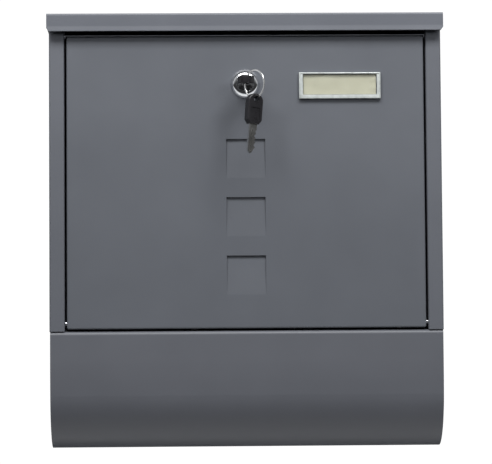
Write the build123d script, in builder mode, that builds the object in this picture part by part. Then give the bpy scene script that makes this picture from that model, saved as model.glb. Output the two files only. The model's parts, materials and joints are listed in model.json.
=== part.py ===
from build123d import *

import math
import os

# Wall mailbox with a newspaper roll, in millimetres.
# Origin: the middle of the four wall holes, on the wall plane. +Z up, the front faces -Y.

# Sheet metal
sheet = 1.0
bend = 1.5                      # outer radius of a fold

# Case
body_w = 303.0
body_d = 95.0
body_bottom = -110.6
side_top = 132.6                # top edge of the side walls
pillar_w = 11.8                 # front flange each side of the door
pillar_top = 122.0
pillar_return = 10.0
wall_hole_dx = 200.0
wall_hole_dz = 130.0
wall_hole_r = 3.0
back_top = 132.4

# Door
door_w = 276.0
door_bottom = -108.9
door_top = 116.5
door_flange = 12.0
door_axis_y = -90.5
door_axis_z = -104.5
door_pin_r = 1.5
emboss_size = 30.0
emboss_pitch = 45.0
emboss_middle_z = -23.0
emboss_depth = 1.8

# Lid
lid_w = 306.0
lid_front_y = -103.0
lid_rear_y = -7.0
lid_front_top = 134.0
lid_rear_top = 135.2
lid_lip_bottom = 124.0
lip_flare_h = 3.8               # height of the flared strip along the lip's lower edge
lip_flare = 0.4                 # and how far it flares out
lid_axis_y = -10.5
lid_axis_z = 127.0
lid_pin_r = 2.0

# Rail across the top of the door opening
rail_front_y = -88.0
rail_rear_y = -74.2
rail_top = 118.5
rail_bottom = 97.0

# Newspaper roll
roll_w = 302.0
roll_bottom = -200.0
roll_straight_end = -135.0      # front is upright down to here
roll_easy_end = -160.0          # then eases in on a large radius down to here
roll_easy_r = 300.0
roll_back_r = 40.0
roll_front_flange_y = -60.0
roll_back_flange_y = -20.0
rivet_r = 1.6
rivet_places = [(x, y) for x in (-120, -40, 40, 120) for y in (-70, -12)]

# Cam lock
lock_z = 79.8
bezel_r = 11.15
bezel_h = 4.2
barrel_r = 9.0
barrel_flats = 16.0
barrel_rear_y = -74.0
plug_r = 6.2
plug_rear_y = -73.2
tang = 7.0
cam_t = 2.0
cam_w = 14.0
cam_reach = 32.0
nut_across = 23.0
nut_t = 4.0
washer_t = 0.8

# Keys
key_head_w = 12.5
key_head_l = 23.4
key_head_t = 6.0
key_hole_r = 2.4
key_hole_inset = 4.2
blade_w = 6.5
blade_t = 2.0
blade_l = 22.5
blade_tang_l = 9.0
key_gap = 3.0                   # between the plug's face and the key's head
ring_r = 10.7
ring_wire_r = 0.7
ring_turn = 48.0                # ring swung to the right, seen from the front
ring_drop = 4.2                 # ring's middle below the first key's middle
ring_offset = 9.27              # and beside the first key's hole
spare_drop = 0.9                # spare key's hole below the ring's lowest point
spare_turn = 30.0               # spare key's face turned to the right
spare_lean = 5.5                # its tip leans to the left

# Name plate
plate_x = 73.0
plate_z = 78.0
plate_w = 63.0
plate_h = 20.4
plate_t = 3.2
peg_dx = 22.0                   # pegs each side of the plate's middle
peg_drop = 8.6                  # and this far below it
peg_r = 1.1
card_w = 57.0
card_h = 15.8
card_t = 0.3

# Fit gaps
running = 0.05
clear = 0.3

front_y = -body_d
half_body = body_w / 2
opening_half = half_body - pillar_w
door_half = door_w / 2
lid_half = lid_w / 2
peg_places = [(plate_x + side * peg_dx, plate_z - peg_drop) for side in (-1, 1)]

os.makedirs("parts", exist_ok=True)


def facing_front(y):
    """Plane at depth y, seen from the front: local x is X, local y is Z, normal is -Y."""
    return Plane.XZ.offset(-y)


def save(built, name):
    built.part.label = name
    export_step(built.part, f"parts/{name}.step")


# Case: one sheet folded round back, sides, front flanges and their returns
with BuildPart() as body_shell:
    with BuildSketch(Plane.XY.offset(body_bottom)):
        with BuildLine():
            FilletPolyline(
                (-opening_half, front_y + pillar_return),
                (-opening_half, front_y),
                (-half_body, front_y),
                (-half_body, 0),
                (half_body, 0),
                (half_body, front_y),
                (opening_half, front_y),
                (opening_half, front_y + pillar_return),
                radius=bend,
            )
            offset(amount=sheet, side=Side.RIGHT)
        make_face()
    extrude(amount=side_top - body_bottom)
    # front flanges stop under the lid's lip
    with Locations((0, front_y + pillar_return / 2, (pillar_top + side_top) / 2 + 1)):
        Box(body_w - 2 * sheet, pillar_return + 3, side_top - pillar_top + 2, mode=Mode.SUBTRACT)
    # back stops short of the lid
    with Locations((0, 0, back_top + 5)):
        Box(body_w - 2 * sheet, 4 * sheet, 10, mode=Mode.SUBTRACT)
    # rear top corners of the sides are rounded about the lid's pivot
    corner_r = side_top - lid_axis_z
    relief_bottom = lid_axis_z - 8
    with BuildSketch(Plane.YZ.offset(-half_body - 1)):
        with BuildLine():
            Line((lid_axis_y, side_top + 1), (lid_axis_y, side_top))
            ThreePointArc(
                (lid_axis_y, side_top),
                (lid_axis_y + corner_r * math.sqrt(0.5), lid_axis_z + corner_r * math.sqrt(0.5)),
                (lid_axis_y + corner_r, lid_axis_z),
            )
            Polyline(
                (lid_axis_y + corner_r, lid_axis_z),
                (lid_axis_y + corner_r, relief_bottom),
                (-sheet, relief_bottom),
                (-sheet, side_top + 1),
                (lid_axis_y, side_top + 1),
            )
        make_face()
    extrude(amount=body_w + 2, mode=Mode.SUBTRACT)
    with Locations(*[(side * half_body, 0, side_top) for side in (-1, 1)]):
        Box(2 * bend + sheet, 4 * bend, 2 * (side_top - relief_bottom), mode=Mode.SUBTRACT)
    # lid pivots through the side walls
    with Locations(Location((-half_body - 1, lid_axis_y, lid_axis_z), (0, 90, 0))):
        Cylinder(
            lid_pin_r, body_w + 2, align=(Align.CENTER, Align.CENTER, Align.MIN), mode=Mode.SUBTRACT
        )
    # door pivots in the returns of the front flanges only
    for side in (-1, 1):
        with Locations(Location((side * (opening_half + sheet / 2), door_axis_y, door_axis_z), (0, 90, 0))):
            Cylinder(door_pin_r, 2 * sheet, mode=Mode.SUBTRACT)
    # wall holes
    with BuildSketch(Plane.XZ):
        with GridLocations(wall_hole_dx, wall_hole_dz, 2, 2):
            Circle(wall_hole_r)
    extrude(amount=2 * sheet, both=True, mode=Mode.SUBTRACT)
save(body_shell, "body_shell")

# Floor of the case: a tray with low flanges against the back and sides, open to the front
floor_front_y = -80.0
floor_flange = 12.0
with BuildPart() as body_floor:
    with BuildSketch(Plane.XY.offset(body_bottom)):
        with Locations((0, (floor_front_y - sheet) / 2)):
            Rectangle(body_w - 2 * sheet, -floor_front_y - sheet)
    extrude(amount=floor_flange)
    bottom_edges = body_floor.edges().group_by(Axis.Z)[0]
    folded = [edge for edge in bottom_edges if edge.center().Y > floor_front_y + 1]
    rear_corners = body_floor.edges().filter_by(Axis.Z).group_by(Axis.Y)[-1]
    fillet(folded + list(rear_corners), radius=bend)
    top_face = body_floor.faces().sort_by(Axis.Z)[-1]
    front_face = body_floor.faces().sort_by(Axis.Y)[0]
    offset(amount=-sheet, openings=[top_face, front_face])
    with BuildSketch(Plane.XY.offset(body_bottom)):
        with Locations(*rivet_places):
            Circle(rivet_r)
    extrude(amount=sheet, mode=Mode.SUBTRACT)
save(body_floor, "body_floor")

# Rail over the door: flange forward, web down behind the door's edge, tabs against the sides
rail_half = half_body - sheet
with BuildPart() as top_rail:
    with BuildSketch(Plane.YZ.offset(-rail_half)):
        with BuildLine():
            FilletPolyline(
                (rail_front_y, rail_top), (rail_rear_y, rail_top), (rail_rear_y, rail_bottom), radius=bend
            )
            offset(amount=sheet, side=Side.RIGHT)
        make_face()
    extrude(amount=2 * rail_half)
    for side in (-1, 1):
        flange_end = opening_half - 0.5
        with Locations((side * (flange_end + 10), rail_front_y - 1, rail_top)):
            Box(20, 2 * (rail_rear_y - rail_front_y - sheet + 0.5), 6, mode=Mode.SUBTRACT)
        with Locations((side * (rail_half - sheet / 2), rail_rear_y + 6, (rail_top + rail_bottom) / 2 - 1)):
            Box(sheet, 12 + 2 * sheet, rail_top - rail_bottom - 4)
save(top_rail, "top_rail")

# Newspaper roll: one sheet rolled into a U, open at both ends, its top edges folded in
easy_angle = math.asin((roll_straight_end - roll_easy_end) / roll_easy_r)
roll_front_r = (roll_easy_end - roll_bottom) / (1 - math.sin(easy_angle))
with BuildPart() as newspaper_holder:
    with BuildSketch(Plane.YZ.offset(-roll_w / 2)):
        with BuildLine():
            top_front = Line((roll_front_flange_y, body_bottom), (front_y + 2 * bend, body_bottom))
            fold_front = JernArc(top_front @ 1, top_front % 1, 2 * bend, 90)
            front_line = Line(fold_front @ 1, (front_y, roll_straight_end))
            easy = JernArc(front_line @ 1, front_line % 1, roll_easy_r, math.degrees(easy_angle))
            belly = JernArc(easy @ 1, easy % 1, roll_front_r, 90 - math.degrees(easy_angle))
            base = Line(belly @ 1, (-roll_back_r, roll_bottom))
            rear = JernArc(base @ 1, base % 1, roll_back_r, 90)
            back_line = Line(rear @ 1, (0, body_bottom - 2 * bend))
            fold_back = JernArc(back_line @ 1, back_line % 1, 2 * bend, 90)
            Line(fold_back @ 1, (roll_back_flange_y, body_bottom))
            offset(amount=sheet, side=Side.LEFT)
        make_face()
    extrude(amount=roll_w)
    with BuildSketch(Plane.XY.offset(body_bottom)):
        with Locations(*rivet_places):
            Circle(rivet_r)
    extrude(amount=-sheet, mode=Mode.SUBTRACT)
save(newspaper_holder, "newspaper_holder")

# Blind rivets that hold the roll under the floor
with BuildPart() as holder_rivets:
    for x, y in rivet_places:
        with Locations((x, y, body_bottom)):
            Cylinder(rivet_r, 2 * sheet)
        with BuildSketch(Plane.XY.offset(body_bottom + sheet)):
            with Locations((x, y)):
                Circle(2 * rivet_r)
        extrude(amount=1.0, taper=30)
        with BuildSketch(Plane.XY.offset(body_bottom - sheet)):
            with Locations((x, y)):
                Circle(rivet_r + 1.0)
        extrude(amount=-2.0)
save(holder_rivets, "holder_rivets")

# Lid: roof, front lip with a flared lower strip, short rear lip and side skirts
with BuildPart() as lid:
    with BuildSketch(Plane.YZ.offset(-lid_half)):
        with BuildLine():
            FilletPolyline(
                (lid_rear_y, lid_rear_top - 4.7),
                (lid_rear_y, lid_rear_top),
                (lid_front_y, lid_front_top),
                (lid_front_y, lid_lip_bottom),
                (lid_front_y - lip_flare, lid_lip_bottom - lip_flare_h),
                radius=bend,
            )
            offset(amount=sheet, side=Side.LEFT)
        make_face()
    extrude(amount=lid_w)
    # rear lip ends inside the side walls
    for side in (-1, 1):
        with Locations((side * lid_half, lid_rear_y, lid_rear_top - sheet - 5)):
            Box(7, 6, 10, mode=Mode.SUBTRACT)
    # skirts
    for side in (-1, 1):
        inner = lid_half - sheet
        with BuildSketch(Plane.YZ.offset(-lid_half if side < 0 else inner)):
            with BuildLine():
                Polyline(
                    (lid_front_y + sheet / 2, lid_front_top - sheet / 2),
                    (lid_front_y + sheet / 2, lid_lip_bottom),
                    (-30, lid_lip_bottom - 1.5),
                    (lid_rear_y - 1, lid_lip_bottom - 1.5),
                    (lid_rear_y, lid_lip_bottom - 0.5),
                    (lid_rear_y, lid_rear_top - sheet / 2),
                    close=True,
                )
            make_face()
        extrude(amount=sheet)
    # lower corners of the flared strip are cut at an angle
    with BuildSketch(facing_front(lid_front_y - 2)):
        for side in (-1, 1):
            with BuildLine():
                Polyline(
                    (side * (lid_half + 0.1), lid_lip_bottom - 1.2),
                    (side * (lid_half + 0.1), lid_lip_bottom - 5),
                    (side * (lid_half - 2.7), lid_lip_bottom - 5),
                    close=True,
                )
            make_face()
    extrude(amount=-8, mode=Mode.SUBTRACT)
    with Locations(Location((-half_body - 5, lid_axis_y, lid_axis_z), (0, 90, 0))):
        Cylinder(
            lid_pin_r + running,
            body_w + 10,
            align=(Align.CENTER, Align.CENTER, Align.MIN),
            mode=Mode.SUBTRACT,
        )
save(lid, "lid")

# Lid pivots: headed pins through the skirts and side walls, with push-on clips inside
lid_pin_end = half_body - sheet - 2.5
with BuildPart() as lid_hinge_pins:
    for side in (-1, 1):
        with BuildSketch(Plane.YZ.offset(side * lid_pin_end)):
            with Locations((lid_axis_y, lid_axis_z)):
                Circle(lid_pin_r)
        extrude(amount=side * (lid_half + 0.1 - lid_pin_end))
        with BuildSketch(Plane.YZ.offset(side * (lid_half + 0.1))):
            with Locations((lid_axis_y, lid_axis_z)):
                Circle(3.5)
        extrude(amount=side * 1.0, taper=20)
save(lid_hinge_pins, "lid_hinge_pins")

with BuildPart() as lid_pin_clips:
    for side in (-1, 1):
        with BuildSketch(Plane.YZ.offset(side * (half_body - sheet))):
            with Locations((lid_axis_y, lid_axis_z)):
                Circle(4.5)
                Circle(lid_pin_r, mode=Mode.SUBTRACT)
        extrude(amount=-side * 0.8)
save(lid_pin_clips, "lid_pin_clips")

# Door: a pressed tray with three wedge embossings, hung on two pins near its bottom edge
with BuildPart() as door:
    with BuildSketch(facing_front(front_y)):
        with Locations((0, (door_bottom + door_top) / 2)):
            Rectangle(door_w, door_top - door_bottom)
    extrude(amount=-door_flange)
    fillet(door.edges().filter_by(Axis.Y), radius=bend)
    fillet(door.faces().sort_by(Axis.Y)[0].edges(), radius=1.2)
    offset(amount=-sheet, openings=door.faces().sort_by(Axis.Y)[-1])
    for row in (-1, 0, 1):
        low = emboss_middle_z + row * emboss_pitch - emboss_size / 2
        high = low + emboss_size
        inner_y = front_y + sheet
        with BuildSketch(Plane.YZ):
            with BuildLine():
                Polyline(
                    (inner_y - 0.2, low),
                    (inner_y, low),
                    (inner_y + emboss_depth, high),
                    (inner_y + emboss_depth, high + sheet),
                    (inner_y - 0.2, high + sheet),
                    close=True,
                )
            make_face()
        extrude(amount=emboss_size / 2 + sheet, both=True)
        with BuildSketch(Plane.YZ):
            with BuildLine():
                Polyline(
                    (front_y - 1, low),
                    (front_y, low),
                    (front_y + emboss_depth, high),
                    (front_y - 1, high),
                    close=True,
                )
            make_face()
        extrude(amount=emboss_size / 2, both=True, mode=Mode.SUBTRACT)
    # lock hole with two flats
    with BuildSketch(facing_front(front_y)):
        with Locations((0, lock_z)):
            Circle(barrel_r + 0.1)
            Rectangle(barrel_flats + 0.2, 2 * barrel_r + 2, mode=Mode.INTERSECT)
    extrude(amount=-2 * sheet, mode=Mode.SUBTRACT)
    # holes for the name plate's pegs
    with BuildSketch(facing_front(front_y)):
        with Locations(*peg_places):
            Circle(peg_r + 0.1)
    extrude(amount=-2 * sheet, mode=Mode.SUBTRACT)
    # pivot holes in the side flanges
    with Locations(Location((-door_half - 2, door_axis_y, door_axis_z), (0, 90, 0))):
        Cylinder(
            door_pin_r + running,
            door_w + 4,
            align=(Align.CENTER, Align.CENTER, Align.MIN),
            mode=Mode.SUBTRACT,
        )
save(door, "door")

# Door pivots: pins fixed in the returns of the front flanges, with clips inside the door
door_pin_inner = door_half - sheet - 2.2
with BuildPart() as door_hinge_pins:
    for side in (-1, 1):
        with BuildSketch(Plane.YZ.offset(side * door_pin_inner)):
            with Locations((door_axis_y, door_axis_z)):
                Circle(door_pin_r)
        extrude(amount=side * (opening_half + sheet - door_pin_inner))
        with BuildSketch(Plane.YZ.offset(side * (opening_half + sheet))):
            with Locations((door_axis_y, door_axis_z)):
                Circle(2.8)
        extrude(amount=side * 1.0)
save(door_hinge_pins, "door_hinge_pins")

with BuildPart() as door_pin_clips:
    for side in (-1, 1):
        with BuildSketch(Plane.YZ.offset(side * (door_half - sheet - clear))):
            with Locations((door_axis_y, door_axis_z)):
                Circle(2.9)
                Circle(door_pin_r, mode=Mode.SUBTRACT)
        extrude(amount=-side * 0.8)
save(door_pin_clips, "door_pin_clips")

# Lock housing: domed bezel and threaded barrel with two flats, in one piece
lock_axis = Axis((0, 0, lock_z), (0, 1, 0))
bezel_front_y = front_y - bezel_h
with BuildPart() as lock_body:
    with BuildSketch(Plane.YZ):
        with BuildLine():
            rim = Line((front_y, lock_z + bezel_r), (front_y - 0.8, lock_z + bezel_r))
            dome = ThreePointArc(
                rim @ 1,
                (front_y - 3.1, lock_z + bezel_r - 1.5),
                (bezel_front_y, lock_z + plug_r + 1.0),
            )
            Polyline(
                dome @ 1,
                (bezel_front_y + 0.6, lock_z + plug_r + running),
                (barrel_rear_y, lock_z + plug_r + running),
                (barrel_rear_y, lock_z + barrel_r),
                (front_y, lock_z + barrel_r),
                (front_y, lock_z + bezel_r),
            )
        make_face()
    revolve(axis=lock_axis)
    for side in (-1, 1):
        with Locations((side * (barrel_flats / 2 + 2), (front_y + barrel_rear_y) / 2, lock_z)):
            Box(4, barrel_rear_y - front_y, 2 * barrel_r, mode=Mode.SUBTRACT)
save(lock_body, "lock_body")

washer_front_y = front_y + sheet
with BuildPart() as lock_washer:
    with BuildSketch(facing_front(washer_front_y)):
        with Locations((0, lock_z)):
            Circle(12.2)
            Circle(barrel_r + 0.05, mode=Mode.SUBTRACT)
    extrude(amount=-washer_t)
save(lock_washer, "lock_washer")

nut_front_y = washer_front_y + washer_t
with BuildPart() as lock_nut:
    with BuildSketch(facing_front(nut_front_y)):
        with Locations((0, lock_z)):
            RegularPolygon(nut_across / 2, 6, major_radius=False)
            Circle(barrel_r + 0.05, mode=Mode.SUBTRACT)
    extrude(amount=-nut_t)
save(lock_nut, "lock_nut")

# Plug: turns in the housing, takes the key from the front and carries the cam on a square tang
plug_front_y = bezel_front_y + 0.3
bolt_hole_depth = 4.0
bolt_r = 1.9
key_face_y = plug_front_y - key_gap
with BuildPart() as lock_plug:
    with BuildSketch(facing_front(plug_rear_y)):
        with Locations((0, lock_z)):
            Circle(plug_r)
    extrude(amount=plug_rear_y - plug_front_y)
    chamfer(lock_plug.faces().sort_by(Axis.Y)[0].edges(), length=0.4)
    with BuildSketch(facing_front(plug_rear_y + cam_t)):
        with Locations((0, lock_z)):
            Rectangle(tang, tang)
    extrude(amount=cam_t)
    with BuildSketch(facing_front(plug_rear_y + cam_t)):
        with Locations((0, lock_z)):
            Circle(bolt_r)
    extrude(amount=bolt_hole_depth, mode=Mode.SUBTRACT)
    with BuildSketch(facing_front(plug_front_y)):
        with Locations((0, lock_z)):
            Rectangle(blade_w + 0.4, blade_t + 0.4)
    extrude(amount=-(key_face_y + blade_l + 0.5 - plug_front_y), mode=Mode.SUBTRACT)
save(lock_plug, "lock_plug")

# Cam: a flat steel finger on the tang, to the right when unlocked
cam_rear_y = plug_rear_y + cam_t
with BuildPart() as lock_cam:
    with BuildSketch(facing_front(cam_rear_y)):
        with Locations((0, lock_z)):
            Circle(cam_w / 2)
        with Locations((cam_reach / 2, lock_z)):
            Rectangle(cam_reach, cam_w)
        fillet(vertices().group_by(Axis.X)[-1], radius=3)
        with Locations((0, lock_z)):
            Rectangle(tang, tang, mode=Mode.SUBTRACT)
    extrude(amount=cam_t)
save(lock_cam, "lock_cam")

with BuildPart() as cam_washer:
    with BuildSketch(facing_front(cam_rear_y)):
        with Locations((0, lock_z)):
            Circle(5.5)
            Circle(bolt_r, mode=Mode.SUBTRACT)
    extrude(amount=-washer_t)
save(cam_washer, "cam_washer")

with BuildPart() as cam_bolt:
    with BuildSketch(facing_front(cam_rear_y + washer_t)):
        with Locations((0, lock_z)):
            Circle(bolt_r)
    extrude(amount=washer_t + bolt_hole_depth - 0.4)
    with BuildSketch(facing_front(cam_rear_y + washer_t)):
        with Locations((0, lock_z)):
            RegularPolygon(3.5, 6, major_radius=False)
    extrude(amount=-2.8)
    chamfer(cam_bolt.faces().sort_by(Axis.Y)[-1].edges(), length=0.4)
save(cam_bolt, "cam_bolt")


def key_head(plane):
    """Moulded head. The plane's origin is where the blade leaves; its y runs to the ring hole."""
    with BuildPart() as head:
        with BuildSketch(plane):
            with BuildLine():
                shoulder = key_head_l - 5.0
                Polyline((-key_head_w / 2, 3), (-key_head_w / 2 + 2.5, 0), (key_head_w / 2 - 2.5, 0))
                Polyline((key_head_w / 2 - 2.5, 0), (key_head_w / 2, 3), (key_head_w / 2, shoulder))
                ThreePointArc((key_head_w / 2, shoulder), (0, key_head_l), (-key_head_w / 2, shoulder))
                Line((-key_head_w / 2, shoulder), (-key_head_w / 2, 3))
            make_face()
        extrude(amount=key_head_t / 2, both=True)
        broad = head.faces().filter_by(lambda f: abs(f.normal_at().dot(plane.z_dir)) > 0.99)
        fillet(broad.edges(), radius=0.7)
        # a shallow panel on each broad face
        for turn in (1, -1):
            panel = Plane(
                origin=plane.origin + plane.z_dir * (turn * key_head_t / 2),
                x_dir=plane.x_dir * turn,
                z_dir=plane.z_dir * turn,
            )
            with BuildSketch(panel):
                with Locations((0, 7.6)):
                    RectangleRounded(key_head_w - 4.5, 10.0, 1.2)
            extrude(amount=-0.4, mode=Mode.SUBTRACT)
        with BuildSketch(plane):
            with Locations((0, key_head_l - key_hole_inset)):
                Circle(key_hole_r)
        extrude(amount=key_head_t, both=True, mode=Mode.SUBTRACT)
        # pocket moulded round the blade's tang
        with BuildSketch(plane):
            with Locations((0, blade_tang_l / 2)):
                Rectangle(blade_w, blade_tang_l)
        extrude(amount=blade_t / 2, both=True, mode=Mode.SUBTRACT)
    return head


def key_blade(plane):
    """Steel blade with cuts along one edge, a groove on each face and a pointed tip."""
    half = blade_w / 2
    with BuildPart() as blade:
        with BuildSketch(plane):
            with BuildLine():
                Polyline(
                    (-half, blade_tang_l),
                    (-half, -blade_l + 2.0),
                    (-half + 2.2, -blade_l),
                    (-half + 3.4, -blade_l + 0.6),
                    (half - 1.6, -blade_l + 3.2),
                    (half - 0.4, -blade_l + 4.6),
                    (half - 1.8, -blade_l + 6.4),
                    (half - 0.6, -blade_l + 8.2),
                    (half - 1.2, -blade_l + 10.2),
                    (half - 0.2, -blade_l + 11.6),
                    (half - 1.7, -blade_l + 13.6),
                    (half - 0.3, -blade_l + 15.4),
                    (half - 0.9, -blade_l + 17.0),
                    (half, -blade_l + 18.2),
                    (half, blade_tang_l),
                    close=True,
                )
            make_face()
        extrude(amount=blade_t / 2, both=True)
        groove_l = blade_l - 2.0
        for turn, across in ((1, -1.1), (-1, 0.4)):
            side = Plane(
                origin=plane.origin + plane.z_dir * (turn * blade_t / 2),
                x_dir=plane.x_dir * turn,
                z_dir=plane.z_dir * turn,
            )
            with BuildSketch(side):
                with Locations((across * turn, -2.0 - groove_l / 2)):
                    Rectangle(1.1, groove_l)
            extrude(amount=-0.6, mode=Mode.SUBTRACT)
    return blade


# Key in the lock: lies flat across the plug, its head towards the viewer
in_lock = Plane(origin=(0, key_face_y, lock_z), x_dir=(1, 0, 0), z_dir=(0, 0, -1))
save(key_head(in_lock), "key_head")
save(key_blade(in_lock), "key_blade")

# Ring: its left side stands in the first key's hole, the spare key hangs from its lowest point
turn = math.radians(ring_turn)
ring_dir = Vector(math.cos(turn), -math.sin(turn), 0)
key_hole = Vector(0, key_face_y - key_head_l + key_hole_inset, lock_z)
ring_centre = key_hole + ring_dir * ring_offset - Vector(0, 0, ring_drop)
ring_normal = ring_dir.cross(Vector(0, 0, 1))
with BuildPart(Plane(origin=ring_centre, x_dir=ring_dir, z_dir=ring_normal)) as key_ring:
    Torus(ring_r, ring_wire_r)
save(key_ring, "key_ring")

# Spare key
ring_low = ring_centre - Vector(0, 0, ring_r)
face_turn = math.radians(spare_turn)
lean = math.radians(spare_lean)
spare_normal = Vector(math.sin(face_turn), -math.cos(face_turn), 0)
spare_across = Vector(math.cos(face_turn), math.sin(face_turn), 0)
spare_up = Vector(0, 0, math.cos(lean)) + spare_across * math.sin(lean)
spare_side = spare_across * math.cos(lean) - Vector(0, 0, math.sin(lean))
spare_hole = ring_low - Vector(0, 0, spare_drop)
spare_origin = spare_hole - spare_up * (key_head_l - key_hole_inset)
hanging = Plane(origin=spare_origin, x_dir=spare_side, z_dir=spare_normal)
save(key_head(hanging), "spare_key_head")
save(key_blade(hanging), "spare_key_blade")

# Name plate: clear moulded cover with a bevelled edge, a window and a pocket open to the right
pocket_h = 16.2
pocket_z = plate_z + 0.9
pocket_t = 1.2
plate_front_y = front_y - plate_t
plate_bevel = 1.0
with BuildPart() as nameplate_cover:
    with BuildSketch(facing_front(front_y)):
        with Locations((plate_x, plate_z)):
            Rectangle(plate_w, plate_h)
    extrude(amount=plate_t - plate_bevel)
    with BuildSketch(facing_front(plate_front_y + plate_bevel)):
        with Locations((plate_x, plate_z)):
            Rectangle(plate_w, plate_h)
    extrude(amount=plate_bevel, taper=45)
    # window, sunk below the border
    with BuildSketch(facing_front(plate_front_y)):
        with Locations((plate_x, pocket_z)):
            Rectangle(card_w - 0.4, pocket_h - 0.6)
    extrude(amount=-1.0, taper=20, mode=Mode.SUBTRACT)
    with BuildSketch(facing_front(front_y)):
        with Locations((plate_x + 1.0, pocket_z)):
            Rectangle(card_w + 5.6, pocket_h)
    extrude(amount=pocket_t, mode=Mode.SUBTRACT)
    with BuildSketch(facing_front(front_y)):
        with Locations(*peg_places):
            Circle(peg_r)
    extrude(amount=-sheet - 1.6)
save(nameplate_cover, "nameplate_cover")

with BuildPart() as name_card:
    with BuildSketch(facing_front(front_y - 0.5)):
        with Locations((plate_x, pocket_z)):
            RectangleRounded(card_w, card_h, 0.6)
    extrude(amount=card_t)
save(name_card, "name_card")

with BuildPart() as nameplate_clips:
    with BuildSketch(facing_front(front_y + sheet)):
        with Locations(*peg_places):
            Circle(3.2)
            Circle(peg_r, mode=Mode.SUBTRACT)
    extrude(amount=-0.6)
save(nameplate_clips, "nameplate_clips")
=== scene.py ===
import json
import math

import bmesh
import bpy
from mathutils import Euler, Matrix, Vector


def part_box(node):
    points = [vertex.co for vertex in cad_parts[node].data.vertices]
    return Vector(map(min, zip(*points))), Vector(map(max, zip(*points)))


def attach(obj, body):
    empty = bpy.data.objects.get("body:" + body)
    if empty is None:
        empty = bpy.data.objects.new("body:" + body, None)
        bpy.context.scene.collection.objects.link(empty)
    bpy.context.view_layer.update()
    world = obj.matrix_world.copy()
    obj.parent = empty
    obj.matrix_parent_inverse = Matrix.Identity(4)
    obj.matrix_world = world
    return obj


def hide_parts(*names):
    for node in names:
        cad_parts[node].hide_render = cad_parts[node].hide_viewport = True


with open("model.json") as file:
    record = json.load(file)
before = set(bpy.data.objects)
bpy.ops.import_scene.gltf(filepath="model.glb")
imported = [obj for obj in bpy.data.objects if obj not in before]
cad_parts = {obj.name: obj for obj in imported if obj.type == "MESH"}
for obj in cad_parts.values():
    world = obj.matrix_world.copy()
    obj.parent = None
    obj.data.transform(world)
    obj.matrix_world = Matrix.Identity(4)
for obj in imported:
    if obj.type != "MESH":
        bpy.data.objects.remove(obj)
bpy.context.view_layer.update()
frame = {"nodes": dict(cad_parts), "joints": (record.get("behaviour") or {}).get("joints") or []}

nodes = frame["nodes"]
bpy.ops.object.select_all(action="DESELECT")

# ---------------------------------------------------------------------------
# Case: one steel sheet folded round the back, the sides and the two front
# flanges beside the door. It is sprayed with grey powder and baked, which
# leaves a fine orange-peel skin. Its folds are given a lighter colour, a
# painted highlight where the bends catch the light.
# ---------------------------------------------------------------------------


def new_group(name, inputs, outputs):
    group = bpy.data.node_groups.new(name, "ShaderNodeTree")
    for label, kind, value in inputs:
        socket = group.interface.new_socket(label, in_out="INPUT", socket_type=kind)
        socket.default_value = value
    for label, kind in outputs:
        group.interface.new_socket(label, in_out="OUTPUT", socket_type=kind)
    return group, group.nodes.new("NodeGroupInput"), group.nodes.new("NodeGroupOutput")


def noise(tree, scale, detail=2.0, roughness=0.5):
    node = tree.nodes.new("ShaderNodeTexNoise")
    node.inputs["Scale"].default_value = scale
    node.inputs["Detail"].default_value = detail
    node.inputs["Roughness"].default_value = roughness
    return node


def spread(tree, source, low, high, out_low=0.0, out_high=1.0):
    node = tree.nodes.new("ShaderNodeMapRange")
    node.inputs["From Min"].default_value = low
    node.inputs["From Max"].default_value = high
    node.inputs["To Min"].default_value = out_low
    node.inputs["To Max"].default_value = out_high
    tree.links.new(source, node.inputs["Value"])
    return node.outputs["Result"]


def sums(tree, operation, a, b):
    node = tree.nodes.new("ShaderNodeMath")
    node.operation = operation
    for socket, value in ((node.inputs[0], a), (node.inputs[1], b)):
        if isinstance(value, bpy.types.NodeSocket):
            tree.links.new(value, socket)
        else:
            socket.default_value = value
    return node.outputs[0]


def shaded(tree, colour, amount):
    node = tree.nodes.new("ShaderNodeVectorMath")
    node.operation = "SCALE"
    tree.links.new(colour, node.inputs[0])
    tree.links.new(amount, node.inputs["Scale"])
    return node.outputs[0]


def mixed(tree, factor, a, b):
    node = tree.nodes.new("ShaderNodeMix")
    node.data_type = "RGBA"
    tree.links.new(factor, node.inputs["Factor"])
    tree.links.new(a, node.inputs[6])
    tree.links.new(b, node.inputs[7])
    return node.outputs[2]


skin_outputs = [
    ("Colour", "NodeSocketColor"), ("Roughness", "NodeSocketFloat"), ("Normal", "NodeSocketVector")
]


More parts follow.
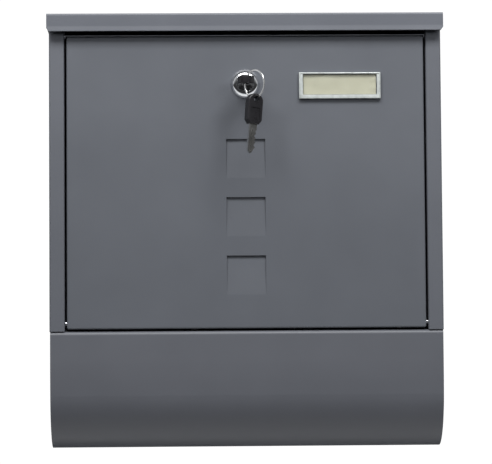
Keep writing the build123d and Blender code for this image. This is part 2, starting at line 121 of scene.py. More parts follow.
def coat_skin():
    """Baked powder: cloudy film thickness, orange peel, and a lighter colour on folds, a painted
    highlight where the bends catch the light.
    """
    tree, taken, given = new_group(
        "powder_skin",
        [
            ("Colour", "NodeSocketColor", (0.1, 0.1, 0.1, 1.0)),
            ("Fold colour", "NodeSocketColor", (0.2, 0.2, 0.2, 1.0)),
            ("Roughness", "NodeSocketFloat", 0.4),
            ("Peel size", "NodeSocketFloat", 1100.0),
            ("Peel depth", "NodeSocketFloat", 0.12),
            ("Fold radius", "NodeSocketFloat", 0.0007),
        ],
        skin_outputs,
    )
    place = tree.nodes.new("ShaderNodeTexCoord")
    peel = noise(tree, 1100.0, 2.0, 0.55)
    tree.links.new(place.outputs["Object"], peel.inputs["Vector"])
    tree.links.new(taken.outputs["Peel size"], peel.inputs["Scale"])
    cloud = noise(tree, 11.0, 4.0, 0.6)
    tree.links.new(place.outputs["Object"], cloud.inputs["Vector"])
    grain = noise(tree, 2600.0, 1.0, 0.5)
    tree.links.new(place.outputs["Object"], grain.inputs["Vector"])
    softened = tree.nodes.new("ShaderNodeBevel")
    softened.samples = 4
    tree.links.new(taken.outputs["Fold radius"], softened.inputs["Radius"])
    geometry = tree.nodes.new("ShaderNodeNewGeometry")
    turned = tree.nodes.new("ShaderNodeVectorMath")
    turned.operation = "DOT_PRODUCT"
    tree.links.new(softened.outputs["Normal"], turned.inputs[0])
    tree.links.new(geometry.outputs["Normal"], turned.inputs[1])
    # Painted highlight: where the softened normal leans away from the face's own normal, along
    # bends and edges, the colour moves to the lighter fold colour.
    fold_highlight_mask = spread(tree, turned.outputs["Value"], 0.995, 0.82)
    film = spread(tree, cloud.outputs["Fac"], 0.3, 0.7, 0.955, 1.045)
    fleck = spread(tree, grain.outputs["Fac"], 0.35, 0.65, 0.975, 1.025)
    base = shaded(tree, taken.outputs["Colour"], sums(tree, "MULTIPLY", film, fleck))
    tree.links.new(mixed(tree, fold_highlight_mask, base, taken.outputs["Fold colour"]), given.inputs["Colour"])
    shift = spread(tree, cloud.outputs["Fac"], 0.3, 0.7, -0.03, 0.04)
    tree.links.new(sums(tree, "ADD", taken.outputs["Roughness"], shift), given.inputs["Roughness"])
    bump = tree.nodes.new("ShaderNodeBump")
    bump.inputs["Distance"].default_value = 0.0001
    tree.links.new(taken.outputs["Peel depth"], bump.inputs["Strength"])
    tree.links.new(peel.outputs["Fac"], bump.inputs["Height"])
    tree.links.new(softened.outputs["Normal"], bump.inputs["Normal"])
    tree.links.new(bump.outputs["Normal"], given.inputs["Normal"])
    return tree


powder_skin = coat_skin()


def shader_of(name):
    material = bpy.data.materials.new(name)
    material.use_nodes = True
    return material, material.node_tree, material.node_tree.nodes["Principled BSDF"]


def skinned(name, group, **values):
    """A material that takes its colour, roughness and normal from one of the finish groups."""
    material, tree, shader = shader_of(name)
    skin = tree.nodes.new("ShaderNodeGroup")
    skin.node_tree = group
    for label, value in values.items():
        socket = skin.inputs[label.replace("_", " ")]
        socket.default_value = (*value, 1.0) if isinstance(value, tuple) else value
    tree.links.new(skin.outputs["Colour"], shader.inputs["Base Color"])
    tree.links.new(skin.outputs["Roughness"], shader.inputs["Roughness"])
    tree.links.new(skin.outputs["Normal"], shader.inputs["Normal"])
    return material


# The fold colour is a painted highlight laid along bends and edges.
def powder_coat(name, colour, fold_highlight_colour, roughness):
    return skinned(name, powder_skin, Colour=colour, Fold_colour=fold_highlight_colour, Roughness=roughness)


def wear(material, *names):
    for name in names:
        slots = nodes[name].data.materials
        slots.clear()
        slots.append(material)


# Second colour: painted highlight on the case's folds.
case_coat = powder_coat("case_powder_coat", (0.113, 0.12, 0.138), (0.135, 0.143, 0.163), 0.45)
wear(case_coat, "body_shell")

# ---------------------------------------------------------------------------
# Floor and rail: the tray that closes the case below, and the folded rail
# that stiffens the top of the door opening. Both are spot welded to the
# sides and sprayed with the case. Their coat is a darker copy of the case's,
# painted shade for parts that sit in shadow inside the case.
# ---------------------------------------------------------------------------
# Darker copy of the case coat: painted shade for the floor and rail. Its second colour is the
# painted fold highlight, kept dark here.
painted_shade_coat = powder_coat("painted_shade_powder_coat", (0.092, 0.098, 0.11), (0.1, 0.106, 0.118), 0.5)
wear(painted_shade_coat, "body_floor", "top_rail")

# ---------------------------------------------------------------------------
# Newspaper roll: a sheet rolled into a U and hung below the case, open at
# both ends. Same powder as the case; it was sprayed as a separate piece.
# ---------------------------------------------------------------------------
# Second colour: painted highlight on the roll's folds.
roll_coat = powder_coat("roll_powder_coat", (0.11, 0.116, 0.133), (0.13, 0.137, 0.157), 0.44)
wear(roll_coat, "newspaper_holder")

# ---------------------------------------------------------------------------
# Rivets: eight aluminium blind rivets through the floor and the roll. Each
# has a domed head with the snapped mandrel sunk in its middle, and a bulb
# where the shank was pulled up below.
# ---------------------------------------------------------------------------


def metal_skin():
    """Plated or drawn metal: fine lines one way and cloudy plating."""
    tree, taken, given = new_group(
        "metal_skin",
        [
            ("Colour", "NodeSocketColor", (0.6, 0.6, 0.6, 1.0)),
            ("Roughness", "NodeSocketFloat", 0.3),
            ("Line size", "NodeSocketFloat", 900.0),
            ("Line depth", "NodeSocketFloat", 0.1),
            ("Clouding", "NodeSocketFloat", 0.08),
        ],
        skin_outputs,
    )
    place = tree.nodes.new("ShaderNodeTexCoord")
    along = tree.nodes.new("ShaderNodeMapping")
    along.inputs["Scale"].default_value = (1.0, 1.0, 0.06)
    tree.links.new(place.outputs["Object"], along.inputs["Vector"])
    lines = noise(tree, 900.0, 3.0, 0.6)
    tree.links.new(along.outputs["Vector"], lines.inputs["Vector"])
    tree.links.new(taken.outputs["Line size"], lines.inputs["Scale"])
    cloud = noise(tree, 160.0, 3.0, 0.6)
    tree.links.new(place.outputs["Object"], cloud.inputs["Vector"])
    swing = spread(tree, cloud.outputs["Fac"], 0.3, 0.7, -1.0, 1.0)
    change = sums(tree, "MULTIPLY", swing, taken.outputs["Clouding"])
    tint = shaded(tree, taken.outputs["Colour"], sums(tree, "ADD", change, 1.0))
    tree.links.new(tint, given.inputs["Colour"])
    rough = sums(tree, "ADD", taken.outputs["Roughness"], sums(tree, "MULTIPLY", change, 0.6))
    tree.links.new(rough, given.inputs["Roughness"])
    bump = tree.nodes.new("ShaderNodeBump")
    bump.inputs["Distance"].default_value = 0.00006
    tree.links.new(taken.outputs["Line depth"], bump.inputs["Strength"])
    tree.links.new(lines.outputs["Fac"], bump.inputs["Height"])
    tree.links.new(bump.outputs["Normal"], given.inputs["Normal"])
    return tree


metal_finish = metal_skin()


def metal(name, colour, roughness, line_depth=0.1, clouding=0.08):
    made = skinned(
        name, metal_finish, Colour=colour, Roughness=roughness,
        Line_depth=line_depth, Clouding=clouding,
    )
    made.node_tree.nodes["Principled BSDF"].inputs["Metallic"].default_value = 1.0
    return made


def shape_on(piece):
    """Only this piece is selected, in edit mode, with nothing of it selected."""
    bpy.ops.object.select_all(action="DESELECT")
    piece.select_set(True)
    bpy.context.view_layer.objects.active = piece
    bpy.ops.object.mode_set(mode="EDIT")
    bpy.ops.mesh.select_all(action="DESELECT")


def pick_faces(piece, test):
    bpy.ops.mesh.select_mode(type="FACE")
    bpy.ops.mesh.select_all(action="DESELECT")
    shape = bmesh.from_edit_mesh(piece.data)
    for face in shape.faces:
        face.select = bool(test(face))
    shape.select_flush_mode()
    bmesh.update_edit_mesh(piece.data)


def pick_edges(piece, test):
    bpy.ops.mesh.select_mode(type="EDGE")
    bpy.ops.mesh.select_all(action="DESELECT")
    shape = bmesh.from_edit_mesh(piece.data)
    for edge in shape.edges:
        edge.select = bool(test((edge.verts[0].co + edge.verts[1].co) / 2, edge))
    shape.select_flush_mode()
    bmesh.update_edit_mesh(piece.data)


def shaped():
    bpy.ops.object.mode_set(mode="OBJECT")


def add_modifier(piece, kind, **values):
    made = piece.modifiers.new(kind.lower(), kind)
    for label, value in values.items():
        setattr(made, label, value)
    bpy.ops.object.select_all(action="DESELECT")
    piece.select_set(True)
    bpy.context.view_layer.objects.active = piece
    bpy.ops.object.modifier_apply(modifier=made.name)


def joined(name, pieces):
    bpy.ops.object.select_all(action="DESELECT")
    for piece in pieces:
        piece.select_set(True)
    bpy.context.view_layer.objects.active = pieces[0]
    if len(pieces) > 1:
        bpy.ops.object.join()
    made = bpy.context.object
    made.name = name
    return made


def settle(piece, angle=35):
    """Place goes into the mesh, normals point out, and soft bends are shaded smooth."""
    bpy.ops.object.select_all(action="DESELECT")
    piece.select_set(True)
    bpy.context.view_layer.objects.active = piece
    bpy.ops.object.transform_apply(location=True, rotation=True, scale=True)
    bpy.ops.object.mode_set(mode="EDIT")
    bpy.ops.mesh.select_all(action="SELECT")
    bpy.ops.mesh.remove_doubles(threshold=0.000001)
    bpy.ops.mesh.normals_make_consistent(inside=False)
    bpy.ops.object.mode_set(mode="OBJECT")
    bpy.ops.object.shade_smooth_by_angle(angle=math.radians(angle))
    bpy.ops.object.select_all(action="DESELECT")


def fit(piece, material, body, slot, *stands_for):
    piece.data.materials.clear()
    piece.data.materials.append(material)
    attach(piece, body)
    if stands_for:
        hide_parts(*stands_for)


floor_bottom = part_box("body_floor")[0][2]
floor_sheet = 0.001
head_r, head_h, head_rounding = 0.0032, 0.001, 0.0007
mandrel_rim, mandrel_sunk = 0.0011, 0.0005
bulb_r, bulb_drop, bulb_squash = 0.0026, 0.0016, 0.52
rivets = []
for x in (-0.12, -0.04, 0.04, 0.12):
    for y in (-0.07, -0.012):
        bpy.ops.mesh.primitive_cylinder_add(
            vertices=28, radius=head_r, depth=head_h,
            location=(x, y, floor_bottom + floor_sheet + head_h / 2),
        )
        head = bpy.context.object
        shape_on(head)
        pick_edges(head, lambda middle, edge: middle.z > 0.4 * head_h)
        bpy.ops.mesh.bevel(offset=head_rounding, segments=4, affect="EDGES")
        pick_faces(head, lambda face: face.normal.z > 0.99)
        bpy.ops.mesh.inset(thickness=mandrel_rim)
        bpy.ops.mesh.extrude_region_move(TRANSFORM_OT_translate={"value": (0, 0, -mandrel_sunk)})
        shaped()
        bpy.ops.mesh.primitive_uv_sphere_add(
            segments=24, ring_count=12, radius=bulb_r, location=(x, y, floor_bottom - bulb_drop)
        )
        bulb = bpy.context.object
        bulb.scale = (1.0, 1.0, bulb_squash)
        rivets += [head, bulb]
rivet_set = joined("blind_rivets", rivets)
settle(rivet_set)
rivet_aluminium = metal("rivet_aluminium", (0.66, 0.66, 0.67), 0.36, 0.2, 0.12)
fit(rivet_set, rivet_aluminium, "case", "zinc_steel", "holder_rivets")

# ---------------------------------------------------------------------------
# Lid: a folded roof with a front lip, skirts and a short rear lip. It is
# the piece that hands open most, so its coat is a touch smoother.
# ---------------------------------------------------------------------------
# Second colour: painted highlight on the lid's folds.
lid_coat = powder_coat("lid_powder_coat", (0.116, 0.124, 0.144), (0.14, 0.149, 0.172), 0.41)
wear(lid_coat, "lid")

# ---------------------------------------------------------------------------
# Hinge pins and clips: zinc-plated steel pins with upset heads, held by
# push-on spring clips inside the case and inside the door.
# ---------------------------------------------------------------------------
zinc = metal("bright_zinc", (0.6, 0.61, 0.64), 0.3, 0.15, 0.14)
wear(zinc, "lid_hinge_pins", "lid_pin_clips", "door_hinge_pins", "door_pin_clips")

# ---------------------------------------------------------------------------
# Door: a pressed tray, its edges turned in all round, with three square
# wedges struck into the sheet. It hangs on two pins near its lower edge.
# ---------------------------------------------------------------------------
# Second colour: painted highlight on the door's folds.
door_coat = powder_coat("door_powder_coat", (0.108, 0.116, 0.133), (0.122, 0.13, 0.15), 0.43)
wear(door_coat, "door")

# ---------------------------------------------------------------------------
# Lock housing: die-cast zinc with a domed rim and a threaded barrel,
# polished and chromed. A washer and a flat hexagon nut clamp it to the door.
# ---------------------------------------------------------------------------
joint_places = {joint["name"]: joint.get("pos_m") for joint in frame["joints"]}
lock_z = joint_places["lock_turn"][2]
door_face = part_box("door")[0][1]
bore_r, barrel_r, barrel_l, barrel_chamfer = 0.00625, 0.009, 0.021, 0.0003
rim_r, rim_h = 0.01115, 0.0042
half_flats = 0.008

# Radius, and depth behind the door's face: the bore's mouth, the rim's dome, then the barrel.
outline = (
    (bore_r, 0.0006 - rim_h), (bore_r + 0.0005, -rim_h), (0.0073, -0.00412), (0.0081, -0.00376),
    (0.0089, -0.0032), (0.0096, -0.00252), (0.0102, -0.0018), (0.0107, -0.00115),
    (rim_r, -0.0005), (rim_r, 0.0), (barrel_r, 0.0), (barrel_r, barrel_l - barrel_chamfer),
    (barrel_r - barrel_chamfer, barrel_l), (bore_r, barrel_l),
)
bpy.ops.mesh.primitive_plane_add(size=bore_r)
housing = bpy.context.object
housing.name = "lock_housing"
shape_on(housing)
bpy.ops.mesh.select_mode(type="VERT")
bpy.ops.mesh.select_all(action="SELECT")
bpy.ops.mesh.merge(type="CENTER")
bpy.ops.transform.translate(value=(outline[0][0], door_face + outline[0][1], lock_z))
for here, there in zip(outline, outline[1:] + outline[:1]):
    step = (there[0] - here[0], there[1] - here[1], 0)
    bpy.ops.mesh.extrude_vertices_move(TRANSFORM_OT_translate={"value": step})
bpy.ops.mesh.select_all(action="SELECT")
bpy.ops.mesh.remove_doubles(threshold=0.000001)
bpy.ops.mesh.select_all(action="SELECT")
bpy.ops.mesh.spin(
    steps=96, angle=2 * math.pi, center=(0, door_face, lock_z), axis=(0, 1, 0), use_auto_merge=True
)
shaped()
cutter_w, cutter_l = 0.005, 0.023
for side in (-1, 1):
    bpy.ops.mesh.primitive_cube_add(
        size=1.0, location=(side * (half_flats + cutter_w / 2), door_face + cutter_l / 2, lock_z)
    )
    flat = bpy.context.object
    flat.scale = (cutter_w, cutter_l, 0.02)
    bpy.ops.object.transform_apply(location=True, rotation=True, scale=True)
    add_modifier(housing, "BOOLEAN", operation="DIFFERENCE", object=flat, solver="EXACT")
    bpy.data.objects.remove(flat)
settle(housing)
chrome = metal("lock_chrome", (0.84, 0.85, 0.87), 0.06, 0.02, 0.03)
fit(housing, chrome, "door", "lock_chrome", "lock_body")
wear(zinc, "lock_washer", "nameplate_clips")

# Nut: a flat hexagon with its front corners turned off.
nut_low, nut_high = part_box("lock_nut")
nut_front, nut_back, nut_half = nut_low[1], nut_high[1], (nut_high[2] - nut_low[2]) / 2
corner_cut_l = 0.0055
bpy.ops.mesh.primitive_cylinder_add(
    vertices=6, radius=nut_half / math.cos(math.pi / 6), depth=nut_back - nut_front,
    location=(0, (nut_front + nut_back) / 2, lock_z), rotation=(math.pi / 2, 0, 0),
)
nut = bpy.context.object
bpy.ops.object.transform_apply(location=True, rotation=True, scale=True)
bpy.ops.mesh.primitive_cone_add(
    vertices=64, radius1=0.0147, radius2=0.0117, depth=corner_cut_l,
    location=(0, nut_front + corner_cut_l / 2 - 0.0001, lock_z), rotation=(-math.pi / 2, 0, 0),
)
corner_cut = bpy.context.object
bpy.ops.mesh.primitive_cylinder_add(
    vertices=64, radius=barrel_r + 0.00005, depth=0.02,
    location=(0, nut_front, lock_z), rotation=(math.pi / 2, 0, 0),
)
nut_bore = bpy.context.object
add_modifier(nut, "BOOLEAN", operation="INTERSECT", object=corner_cut, solver="EXACT")
add_modifier(nut, "BOOLEAN", operation="DIFFERENCE", object=nut_bore, solver="EXACT")
bpy.data.objects.remove(corner_cut)
bpy.data.objects.remove(nut_bore)
add_modifier(nut, "BEVEL", width=0.00015, segments=2, limit_method="ANGLE")
nut.name = "flat_nut"
settle(nut)
fit(nut, zinc, "door", "zinc_steel", "lock_nut")

# Thread: a ridge wound round the barrel, cut away on the barrel's two flats.
ridge, thread_pitch, thread_turns, turn_steps = 0.00036, 0.00092, 17, 40
bpy.ops.mesh.primitive_circle_add(
    vertices=3, radius=ridge, location=(barrel_r - 0.00008, 0, 0), rotation=(math.pi / 2, 0, 0)
)
thread = bpy.context.object
bpy.ops.object.transform_apply(location=True, rotation=True, scale=True)
add_modifier(
    thread, "SCREW", axis="Z", angle=2 * math.pi * thread_turns,
    screw_offset=thread_pitch * thread_turns,
    steps=turn_steps * thread_turns, render_steps=turn_steps * thread_turns,
)
shape_on(thread)
bpy.ops.mesh.select_all(action="SELECT")
bpy.ops.mesh.fill_holes(sides=0)
shaped()
thread.rotation_euler = (math.pi / 2, 0, 0)
thread.location = (0, door_face + barrel_l - 0.00055, lock_z)
bpy.ops.object.transform_apply(location=True, rotation=True, scale=True)
for side in (-1, 1):
    shape_on(thread)
    bpy.ops.mesh.select_all(action="SELECT")
    bpy.ops.mesh.bisect(
        plane_co=(side * (half_flats + 0.00002), 0, lock_z), plane_no=(side, 0, 0),
        use_fill=True, clear_outer=True,
    )
    shaped()
thread.name = "barrel_thread"
settle(thread)
fit(thread, chrome, "door", "lock_chrome")

# ---------------------------------------------------------------------------
# Plug, cam and bolt: the brass-cored plug is chromed on its face; the cam is
# a blanked steel finger on the plug's square end, held by a washer and bolt.
# ---------------------------------------------------------------------------
wear(metal("plug_chrome", (0.74, 0.75, 0.77), 0.12, 0.05, 0.05), "lock_plug")
wear(metal("blanked_steel", (0.5, 0.5, 0.51), 0.36, 0.3, 0.12), "lock_cam")
wear(zinc, "cam_washer", "cam_bolt")

# ---------------------------------------------------------------------------
# Keys: nickel-plated blades with milled grooves and cut edges, each in a
# moulded black head with a sunk panel on both faces and a hole for the ring.
# ---------------------------------------------------------------------------


def moulding_skin():
    """Injection-moulded plastic: fine spark-eroded grain with a faint cloud."""
    tree, taken, given = new_group(
        "moulding_skin",
        [
            ("Colour", "NodeSocketColor", (0.02, 0.02, 0.02, 1.0)),
            ("Roughness", "NodeSocketFloat", 0.4),
            ("Grain size", "NodeSocketFloat", 4200.0),
            ("Grain depth", "NodeSocketFloat", 0.2),
        ],
        skin_outputs,
    )
    place = tree.nodes.new("ShaderNodeTexCoord")
    grain = noise(tree, 4200.0, 2.0, 0.6)
    tree.links.new(place.outputs["Object"], grain.inputs["Vector"])
    tree.links.new(taken.outputs["Grain size"], grain.inputs["Scale"])
    cloud = noise(tree, 220.0, 3.0, 0.6)
    tree.links.new(place.outputs["Object"], cloud.inputs["Vector"])
    shade = spread(tree, cloud.outputs["Fac"], 0.3, 0.7, 0.85, 1.2)
    tint = shaded(tree, taken.outputs["Colour"], shade)
    tree.links.new(tint, given.inputs["Colour"])
    shift = spread(tree, cloud.outputs["Fac"], 0.3, 0.7, -0.05, 0.06)
    tree.links.new(sums(tree, "ADD", taken.outputs["Roughness"], shift), given.inputs["Roughness"])
    bump = tree.nodes.new("ShaderNodeBump")
    bump.inputs["Distance"].default_value = 0.00005
    tree.links.new(taken.outputs["Grain depth"], bump.inputs["Strength"])
    tree.links.new(grain.outputs["Fac"], bump.inputs["Height"])
    tree.links.new(bump.outputs["Normal"], given.inputs["Normal"])
    return tree


moulded = moulding_skin()
head_black = (0.013, 0.0125, 0.0145)
head_plastic = skinned("black_head_plastic", moulded, Colour=head_black, Roughness=0.3)
wear(head_plastic, "key_head", "spare_key_head")
blade_nickel = metal("key_nickel", (0.7, 0.695, 0.68), 0.2, 0.15, 0.08)
wear(blade_nickel, "key_blade", "spare_key_blade")

# ---------------------------------------------------------------------------
# Split ring: flat spring-steel wire wound nearly twice round, so that it
# springs shut. It stands in the first key's hole, and the spare hangs on it.
# ---------------------------------------------------------------------------
ring_r = 0.01055
wire_w, wire_t, wire_rounding = 0.00125, 0.00045, 0.00014
coils, coil_rise, ring_steps = 1.9, 0.00047, 220
ring_turn = math.radians(48)
bpy.ops.mesh.primitive_plane_add(size=1.0, location=(ring_r, 0, 0), rotation=(math.pi / 2, 0, 0))
split_ring = bpy.context.object
split_ring.scale = (wire_w, wire_t, 1.0)
bpy.ops.object.transform_apply(location=True, rotation=True, scale=True)
shape_on(split_ring)
bpy.ops.mesh.select_all(action="SELECT")
bpy.ops.mesh.bevel(offset=wire_rounding, segments=3, affect="VERTICES")
bpy.ops.mesh.delete(type="ONLY_FACE")
shaped()
add_modifier(
    split_ring, "SCREW", axis="Z", angle=2 * math.pi * coils, screw_offset=coil_rise * coils,
    steps=ring_steps, render_steps=ring_steps,
)
shape_on(split_ring)
bpy.ops.mesh.select_all(action="SELECT")
bpy.ops.mesh.fill_holes(sides=0)
shaped()
split_ring.data.transform(Matrix.Translation((0, 0, -coil_rise * coils / 2)))

# It stands upright, straight above the spare key's pivot.
ring_low, ring_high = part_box("key_ring")
pivot = joint_places["spare_key_swing"]
ring_middle = Vector((pivot[0], pivot[1], (ring_low[2] + ring_high[2]) / 2))
upward = Vector((0, 0, 1))
across = Vector((math.cos(ring_turn), -math.sin(ring_turn), 0))
along = across.cross(upward)
stand = Matrix((across, upward, -along)).transposed()
split_ring.matrix_world = Matrix.Translation(ring_middle) @ stand.to_4x4()
split_ring.name = "split_ring"
settle(split_ring)
ring_steel = metal("ring_steel", (0.72, 0.72, 0.72), 0.16, 0.1, 0.05)
fit(split_ring, ring_steel, "key_ring", "zinc_steel", "key_ring")

# ---------------------------------------------------------------------------
# Name plate: a clear moulded frame with a bevelled edge and a thin clear
# window, pushed onto the door by two pegs. The card slides in from the right.
# ---------------------------------------------------------------------------
plate_low, plate_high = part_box("nameplate_cover")
card_low, card_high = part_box("name_card")
plate_x, plate_z = (plate_low[0] + plate_high[0]) / 2, (plate_low[2] + plate_high[2]) / 2
window_z = (card_low[2] + card_high[2]) / 2
plate_w, plate_h, plate_t = 0.063, 0.0204, 0.0032
peg_dx, peg_drop, peg_r, peg_l = 0.022, 0.0086, 0.0011, 0.0028


def runs_back(middle, edge):
    """True for the edges that run from the door towards the reader."""
    return abs(edge.verts[0].co.y - edge.verts[1].co.y) > 0.0015


bpy.ops.mesh.primitive_cube_add(size=1.0, location=(plate_x, door_face - plate_t / 2, plate_z))
plate = bpy.context.object
plate.scale = (plate_w, plate_t, plate_h)
bpy.ops.object.transform_apply(location=True, rotation=True, scale=True)
shape_on(plate)
pick_edges(plate, lambda middle, edge: middle.y < door_face - 0.003)
bpy.ops.mesh.bevel(offset=0.0009, segments=4, profile=0.6, affect="EDGES")
pick_faces(plate, lambda face: face.normal.y < -0.99)
bpy.ops.mesh.inset(thickness=0.00035)
bpy.ops.mesh.inset(thickness=0.00012, depth=-0.00035)
pick_edges(plate, runs_back)
bpy.ops.mesh.bevel(offset=0.0006, segments=3, affect="EDGES")
shaped()

# The window is cut through the front, and the card's pocket from behind, open to the right.
window = ((0.0572, 0.005, 0.0161), (plate_x, door_face - plate_t, window_z), 0.0008)
pocket = ((0.0626, 0.0024, 0.0162), (plate_x + 0.001, door_face, window_z), 0.0)
for size, place, rounding in (window, pocket):
    bpy.ops.mesh.primitive_cube_add(size=1.0, location=place)
    cutter = bpy.context.object
    cutter.scale = size
    bpy.ops.object.transform_apply(location=True, rotation=True, scale=True)
    if rounding:
        shape_on(cutter)
        pick_edges(cutter, runs_back)
        bpy.ops.mesh.bevel(offset=rounding, segments=4, affect="EDGES")
        shaped()
    add_modifier(plate, "BOOLEAN", operation="DIFFERENCE", object=cutter, solver="EXACT")
    bpy.data.objects.remove(cutter)
add_modifier(plate, "BEVEL", width=0.00012, segments=2, limit_method="ANGLE")
pegs = [plate]
for x in (plate_x - peg_dx, plate_x + peg_dx):
    bpy.ops.mesh.primitive_cylinder_add(
        vertices=24, radius=peg_r, depth=peg_l,
        location=(x, door_face + 0.0012, plate_z - peg_drop), rotation=(math.pi / 2, 0, 0),
    )
    peg = bpy.context.object
    add_modifier(peg, "BEVEL", width=0.0003, segments=2, limit_method="ANGLE")
    pegs.append(peg)
plate = joined("nameplate_frame", pegs)
settle(plate)


def clear_plastic(name, colour, roughness, alpha):
    made = skinned(
        name, moulded, Colour=colour, Roughness=roughness, Grain_size=500.0, Grain_depth=0.08
    )
    shader = made.node_tree.nodes["Principled BSDF"]
    shader.inputs["Alpha"].default_value = alpha
    shader.inputs["IOR"].default_value = 1.55
    return made


frame_plastic = clear_plastic("frame_polystyrene", (0.5, 0.53, 0.52), 0.14, 0.93)
fit(plate, frame_plastic, "door", "clear_plastic", "nameplate_cover")

bpy.ops.mesh.primitive_grid_add(
    x_subdivisions=30, y_subdivisions=10, size=1.0,
    location=(plate_x, door_face - 0.0017, window_z), rotation=(math.pi / 2, 0, 0),
)
pane = bpy.context.object
pane.scale = (0.0569, 0.0157, 1.0)
bpy.ops.object.transform_apply(location=True, rotation=True, scale=True)
add_modifier(pane, "SOLIDIFY", thickness=0.0004, offset=0.0)
pane.name = "nameplate_window"
settle(pane)
pane_plastic = clear_plastic("window_polystyrene", (0.6, 0.63, 0.6), 0.08, 0.07)
fit(pane, pane_plastic, "door", "clear_plastic")

# ---------------------------------------------------------------------------
# Name card: a slip of cream card, cut a little large so that it buckles
# slightly in its pocket. Uncoated stock with visible fibres.
# ---------------------------------------------------------------------------
card_w, card_h, card_t, card_y = 0.0562, 0.0152, 0.0003, door_face - 0.00062
bpy.ops.mesh.primitive_grid_add(
    x_subdivisions=56, y_subdivisions=16, size=1.0,
    location=(plate_x, card_y, window_z), rotation=(math.pi / 2, 0, 0),
)
card = bpy.context.object
card.scale = (card_w, card_h, 1.0)
bpy.ops.object.transform_apply(location=True, rotation=True, scale=True)
shape_on(card)
bpy.ops.mesh.select_mode(type="VERT")

# Buckles: how far right of the card's middle and above it, how far back, and how wide.
for right, above, back, reach in (
    (-0.012, 0.0026, -0.00028, 0.011),
    (0.010, -0.0021, -0.00026, 0.012),
    (-0.001, -0.0037, 0.00018, 0.008),
    (0.0215, 0.0006, 0.00022, 0.006),
    (0.0275, -0.0029, -0.0006, 0.005),
    (0.0275, 0.0041, -0.0004, 0.004),
    (-0.0225, -0.0009, 0.00022, 0.007),
):
    x, z = plate_x + right, window_z + above
    bpy.ops.mesh.select_all(action="DESELECT")
    slip = bmesh.from_edit_mesh(card.data)
    nearest = min(slip.verts, key=lambda v: (v.co.x - x) ** 2 + (v.co.z - z) ** 2)
    nearest.select = True
    slip.select_flush_mode()
    bmesh.update_edit_mesh(card.data)
    bpy.ops.transform.translate(
        value=(0, back, 0), use_proportional_edit=True,
        proportional_edit_falloff="SMOOTH", proportional_size=reach,
    )
shaped()
add_modifier(card, "SOLIDIFY", thickness=card_t, offset=0.0)
card.name = "cream_card"
settle(card, 60)


def card_stock():
    material, tree, shader = shader_of("cream_card_stock")
    place = tree.nodes.new("ShaderNodeTexCoord")
    fibres = noise(tree, 1500.0, 5.0, 0.7)
    tree.links.new(place.outputs["Object"], fibres.inputs["Vector"])
    blotches = noise(tree, 60.0, 3.0, 0.5)
    tree.links.new(place.outputs["Object"], blotches.inputs["Vector"])
    ramp = tree.nodes.new("ShaderNodeValToRGB")
    ramp.color_ramp.elements[0].position = 0.3
    ramp.color_ramp.elements[0].color = (0.42, 0.41, 0.3, 1.0)
    ramp.color_ramp.elements[1].position = 0.7
    ramp.color_ramp.elements[1].color = (0.455, 0.445, 0.33, 1.0)
    tree.links.new(blotches.outputs["Fac"], ramp.inputs["Fac"])
    fleck = spread(tree, fibres.outputs["Fac"], 0.3, 0.7, 0.96, 1.04)
    tree.links.new(shaded(tree, ramp.outputs["Color"], fleck), shader.inputs["Base Color"])
    shader.inputs["Roughness"].default_value = 0.75
    bump = tree.nodes.new("ShaderNodeBump")
    bump.inputs["Strength"].default_value = 0.3
    bump.inputs["Distance"].default_value = 0.00005
    tree.links.new(fibres.outputs["Fac"], bump.inputs["Height"])
    tree.links.new(bump.outputs["Normal"], shader.inputs["Normal"])
    return material


fit(card, card_stock(), "name_card", "card", "name_card")

# ---------------------------------------------------------------------------
# Studio: a pale floor well below the box, a soft box overhead, one to each
# side in front, and a room that is darker behind the camera than above it.
# ---------------------------------------------------------------------------
bpy.ops.mesh.primitive_plane_add(size=1.0, location=(0, -0.02, -0.62))
floor = bpy.context.object
floor.name = "studio_floor"
floor.scale = (1.8, 0.5, 1.0)
bpy.ops.object.transform_apply(location=True, rotation=True, scale=True)
floor_material, _, floor_shader = shader_of("pale_floor")
floor_shader.inputs["Base Color"].default_value = (0.8, 0.8, 0.8, 1.0)
floor_shader.inputs["Roughness"].default_value = 0.7
floor.data.materials.append(floor_material)


def soft_box(name, place, aim, width, height, watts):
    light = bpy.data.lights.new(name, "AREA")
    light.shape = "RECTANGLE"
    light.size = width
    light.size_y = height
    light.energy = watts
    lamp = bpy.data.objects.new(name, light)
    bpy.context.scene.collection.objects.link(lamp)
    lamp.location = place
    lamp.rotation_euler = (Vector(aim) - Vector(place)).to_track_quat("-Z", "Y").to_euler()
    return lamp


door_middle = (0, -0.1, 0)
soft_box("box_over", (0, -0.8, 0.88), door_middle, 1.3, 0.4, 17.5)
for name, side, watts in (("box_right", 1, 5.6), ("box_left", -1, 3.4)):
    box = soft_box(name, (side * 0.85, -1.42, 0.4), door_middle, 0.35, 0.45, watts)
    box.visible_glossy = False

world = bpy.data.worlds.new("studio_room")
bpy.context.scene.world = world
world.use_nodes = True
sky = world.node_tree
backdrop = sky.nodes["Background"]
backdrop.inputs["Color"].default_value = (1, 1, 1, 1)
backdrop.inputs["Strength"].default_value = 1.05
facing = sky.nodes.new("ShaderNodeTexCoord")
parts = sky.nodes.new("ShaderNodeSeparateXYZ")
sky.links.new(facing.outputs["Generated"], parts.inputs[0])
height = sums(sky, "ARCTAN2", parts.outputs["Z"], sums(sky, "MULTIPLY", parts.outputs["Y"], -1.0))
around = spread(sky, height, -math.pi, math.pi)


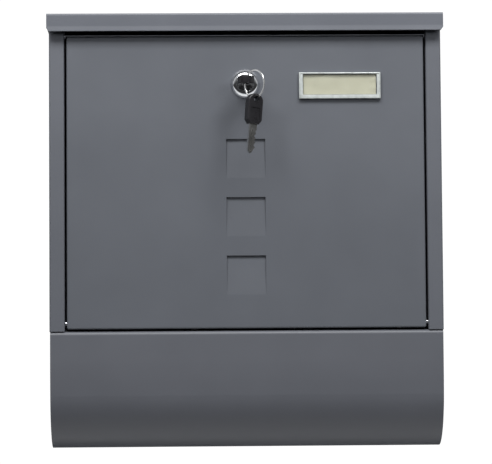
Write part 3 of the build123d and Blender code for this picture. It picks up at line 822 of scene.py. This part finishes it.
def room_light(strength, levels):
    """Brightness by height: behind and below at 0, round the front, behind and above at 1."""
    walls = sky.nodes.new("ShaderNodeValToRGB")
    sky.links.new(around, walls.inputs["Fac"])
    for place, level in levels:
        stops = walls.color_ramp.elements
        stop = stops[0] if place == 0.0 else stops[-1] if place == 1.0 else stops.new(place)
        stop.color = (level * 0.97, level * 0.985, level, 1.0)
    glow = sky.nodes.new("ShaderNodeBackground")
    glow.inputs["Strength"].default_value = strength
    sky.links.new(walls.outputs["Color"], glow.inputs["Color"])
    return glow


room = room_light(
    0.6,
    [
        (0.0, 0.9), (0.02, 0.5), (0.05, 0.03), (0.4, 0.03), (0.48, 0.06), (0.53, 0.1),
        (0.6, 0.5), (0.66, 0.92), (1.0, 0.92),
    ],
)
gloss = room_light(
    1.0,
    [
        (0.0, 1.3), (0.012, 0.6), (0.03, 0.03), (0.24, 0.03), (0.265, 0.8), (0.325, 0.8),
        (0.362, 0.03), (0.47, 0.04), (0.53, 0.05), (0.6, 0.3), (0.66, 0.55), (0.88, 0.6),
        (0.94, 1.3), (1.0, 1.3),
    ],
)
seen = sky.nodes.new("ShaderNodeLightPath")
shiny = sky.nodes.new("ShaderNodeMixShader")
sky.links.new(seen.outputs["Is Glossy Ray"], shiny.inputs[0])
sky.links.new(room.outputs[0], shiny.inputs[1])
sky.links.new(gloss.outputs[0], shiny.inputs[2])
either = sky.nodes.new("ShaderNodeMixShader")
sky.links.new(seen.outputs["Is Camera Ray"], either.inputs[0])
sky.links.new(shiny.outputs[0], either.inputs[1])
sky.links.new(backdrop.outputs[0], either.inputs[2])
sky.links.new(either.outputs[0], sky.nodes["World Output"].inputs["Surface"])
bpy.context.scene.view_settings.view_transform = "Standard"

camera_data = bpy.data.cameras.new("camera")
camera = bpy.data.objects.new("camera", camera_data)
bpy.context.scene.collection.objects.link(camera)
camera.location = (-0.0463, -2.0, -0.1597)
yaw, pitch, roll = math.radians(1.385), math.radians(3.749), math.radians(-0.425)
held_level = Euler((math.pi / 2 + pitch, 0, -yaw)).to_matrix()
camera.rotation_euler = (held_level @ Matrix.Rotation(roll, 3, "Z")).to_euler()
camera_data.sensor_width = 36.0
camera_data.lens = 181.6
bpy.context.scene.camera = camera
